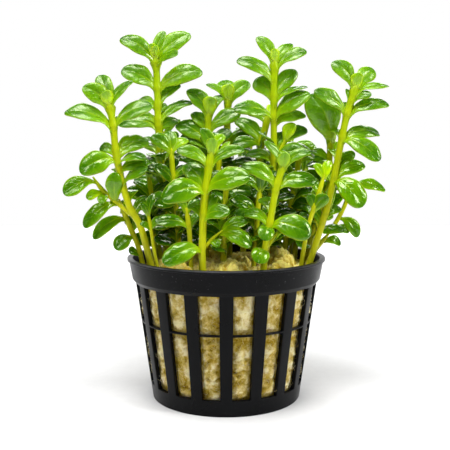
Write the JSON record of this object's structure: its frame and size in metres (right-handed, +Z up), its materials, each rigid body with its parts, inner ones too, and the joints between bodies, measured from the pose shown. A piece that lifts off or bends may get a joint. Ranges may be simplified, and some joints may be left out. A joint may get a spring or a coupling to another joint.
{
  "type": "potted aquarium plant",
  "caption": "Small bushy aquarium plant with glossy green opposite leaves on upright stems, rooted in pale rock wool in a round slotted net pot.",
  "frame": {"origin": "centre of the pot's flat base, on the surface that it stands on", "axes": "+Z up, along the pot's axis; -Y is the front of the picture, +X to its right"},
  "size_m": [0.0891, 0.0566, 0.1019],
  "materials": {
    "pot_plastic": "satin",
    "rock_wool": "matte",
    "leaf": "satin",
    "stem": "satin"
  },
  "bodies": {
    "root": {"pot": "pot_plastic", "rock_wool": "rock_wool", "shoot_left_tall": "leaf", "shoot_left_low": "leaf", "shoot_back_left_tall": "leaf", "shoot_centre_right_tall": "leaf", "shoot_right_tall": "leaf", "shoot_front_mid": "leaf", "shoot_front_right": "leaf", "shoot_right_inner": "leaf", "shoot_back_mid_left": "leaf", "shoot_back_mid": "leaf", "shoot_behind_centre": "leaf", "shoot_inner_left": "leaf", "shoot_inner_right": "leaf", "shoot_front_left_low": "leaf", "shoot_left_pale": "leaf", "shoot_right_short": "leaf", "shoot_right_pale": "leaf", "shoot_right_low": "leaf", "shoot_rear_left": "leaf", "shoot_rear_mid_left": "leaf", "shoot_rear_mid": "leaf", "shoot_rear_right": "leaf", "shoot_inner_mid": "leaf", "shoot_inner_front": "leaf", "shoot_inner_far_left": "leaf", "shoot_rear_far_right": "leaf", "shoot_rear_far_left": "leaf", "shoot_inner_back_right": "leaf"}
  },
  "joints": []
}
